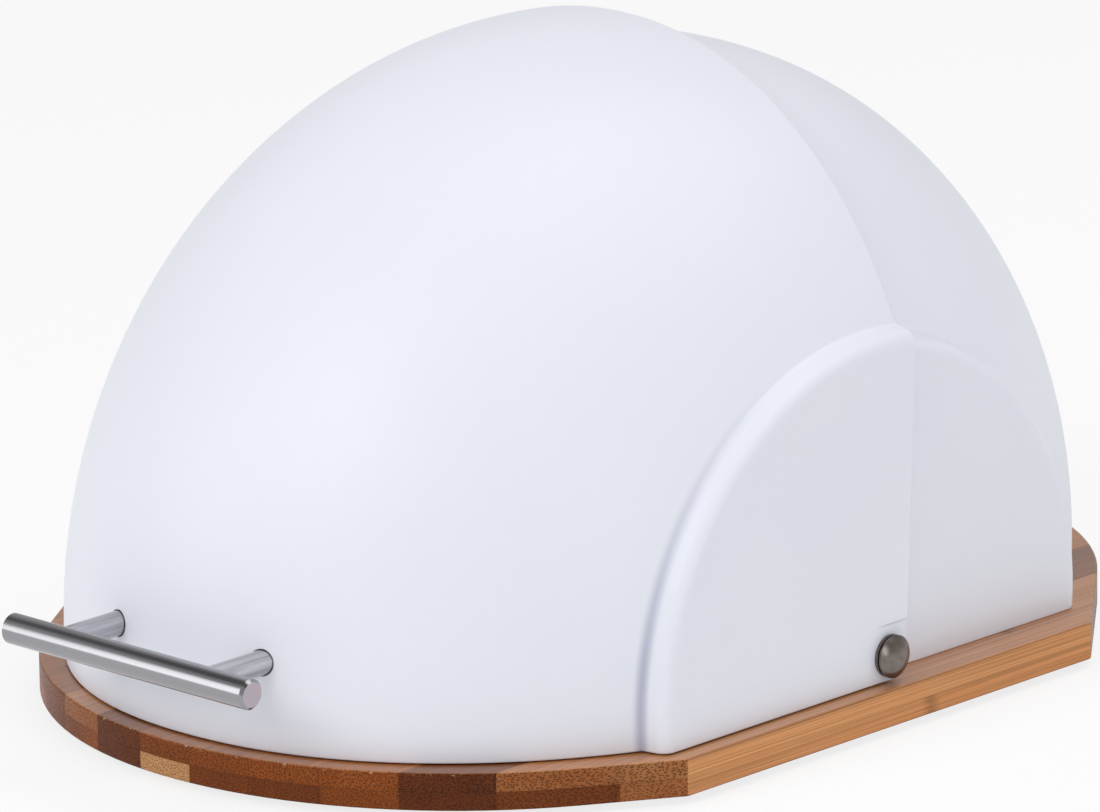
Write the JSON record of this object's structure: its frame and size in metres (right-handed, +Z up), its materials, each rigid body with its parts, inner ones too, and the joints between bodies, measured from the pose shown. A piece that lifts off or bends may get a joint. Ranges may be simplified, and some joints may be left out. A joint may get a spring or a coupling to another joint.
{
  "type": "bread box",
  "caption": "Dome bread box: a front lid with a bar handle swings back on side rivets over a fixed rear shell, on a bamboo board with rounded ends.",
  "frame": {"origin": "bottom centre of the part's box, on the surface that the rubber feet stand on", "axes": "+Z up, the handle and the opening towards -Y, the hinge axis along X"},
  "size_m": [0.275, 0.3978, 0.2111],
  "materials": {
    "shell_white": "fine satin moulded white",
    "bamboo_upper": "oiled carbonised bamboo",
    "bamboo_lower": "oiled carbonised bamboo",
    "rubber_feet": "matt",
    "handle_steel": "brushed along the bar",
    "rivet_nickel": "polished dark nickel plate",
    "zinc_screws": "zinc plated",
    "zinc_washers": "zinc plated",
    "nylon_spacers": "natural nylon"
  },
  "bodies": {
    "base": {"board_upper_layer": "bamboo_upper", "board_lower_layer": "bamboo_lower", "board_feet": "rubber_feet", "rear_shell": "shell_white", "shell_screws": "zinc_screws", "pivot_rivet_left": "rivet_nickel", "pivot_rivet_right": "rivet_nickel", "pivot_screw_left": "zinc_screws", "pivot_screw_right": "zinc_screws", "pivot_spacer_left": "nylon_spacers", "pivot_spacer_right": "nylon_spacers", "pivot_back_washer_left": "zinc_washers", "pivot_back_washer_right": "zinc_washers"},
    "lid": {"front_lid": "shell_white", "handle_bar": "handle_steel", "handle_post_left": "handle_steel", "handle_post_right": "handle_steel", "handle_screw_left": "zinc_screws", "handle_screw_right": "zinc_screws", "handle_washer_left": "zinc_washers", "handle_washer_right": "zinc_washers"}
  },
  "joints": [
    {"name": "lid_swing", "type": "hinge", "parent": "base", "child": "lid", "pos_m": [0, 0.01432, 0.0238], "axis": [-1, 0, 0], "range_deg": [0, 87]}
  ]
}
